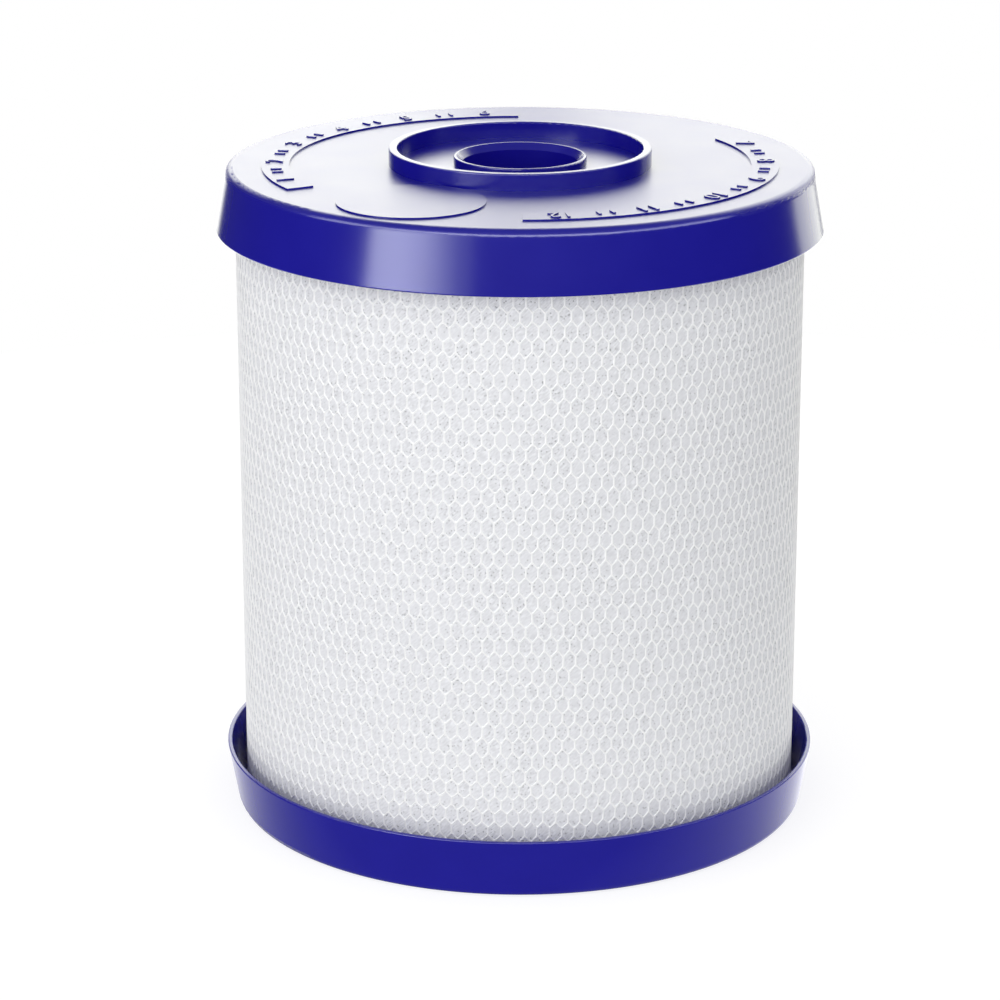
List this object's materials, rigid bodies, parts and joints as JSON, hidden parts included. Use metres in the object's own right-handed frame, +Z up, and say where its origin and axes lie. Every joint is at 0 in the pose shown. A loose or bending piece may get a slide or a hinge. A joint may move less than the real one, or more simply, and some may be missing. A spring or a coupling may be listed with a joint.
{
  "type": "radial-flow carbon block water filter cartridge",
  "caption": "White cylindrical carbon-block water filter cartridge in hexagonal netting, sealed between flared blue end caps, with a raised collar and an outlet bore in the upper cap.",
  "frame": {"origin": "centre of the lower cap's flat face, which the cartridge stands on", "axes": "+Z up along the cartridge's axis, out of the outlet bore; -Y towards the picture's camera, +X to its right"},
  "size_m": [0.1438, 0.1438, 0.1615],
  "materials": {
    "cap_blue": "polished injection-moulded polypropylene",
    "net_white": "extruded polyethylene netting",
    "fleece_white": "spun-bonded polypropylene fleece",
    "carbon_black": "pressed carbon granules and fibre",
    "core_white": "moulded polypropylene",
    "glue_pale": "hot-melt glue"
  },
  "bodies": {
    "root": {"top_end_cap": "cap_blue", "bottom_end_cap": "cap_blue", "outer_net": "net_white", "prefilter_fleece": "fleece_white", "carbon_block": "carbon_black", "inner_fleece": "fleece_white", "core_tube": "core_white", "top_glue_bed": "glue_pale", "bottom_glue_bed": "glue_pale"}
  },
  "joints": []
}
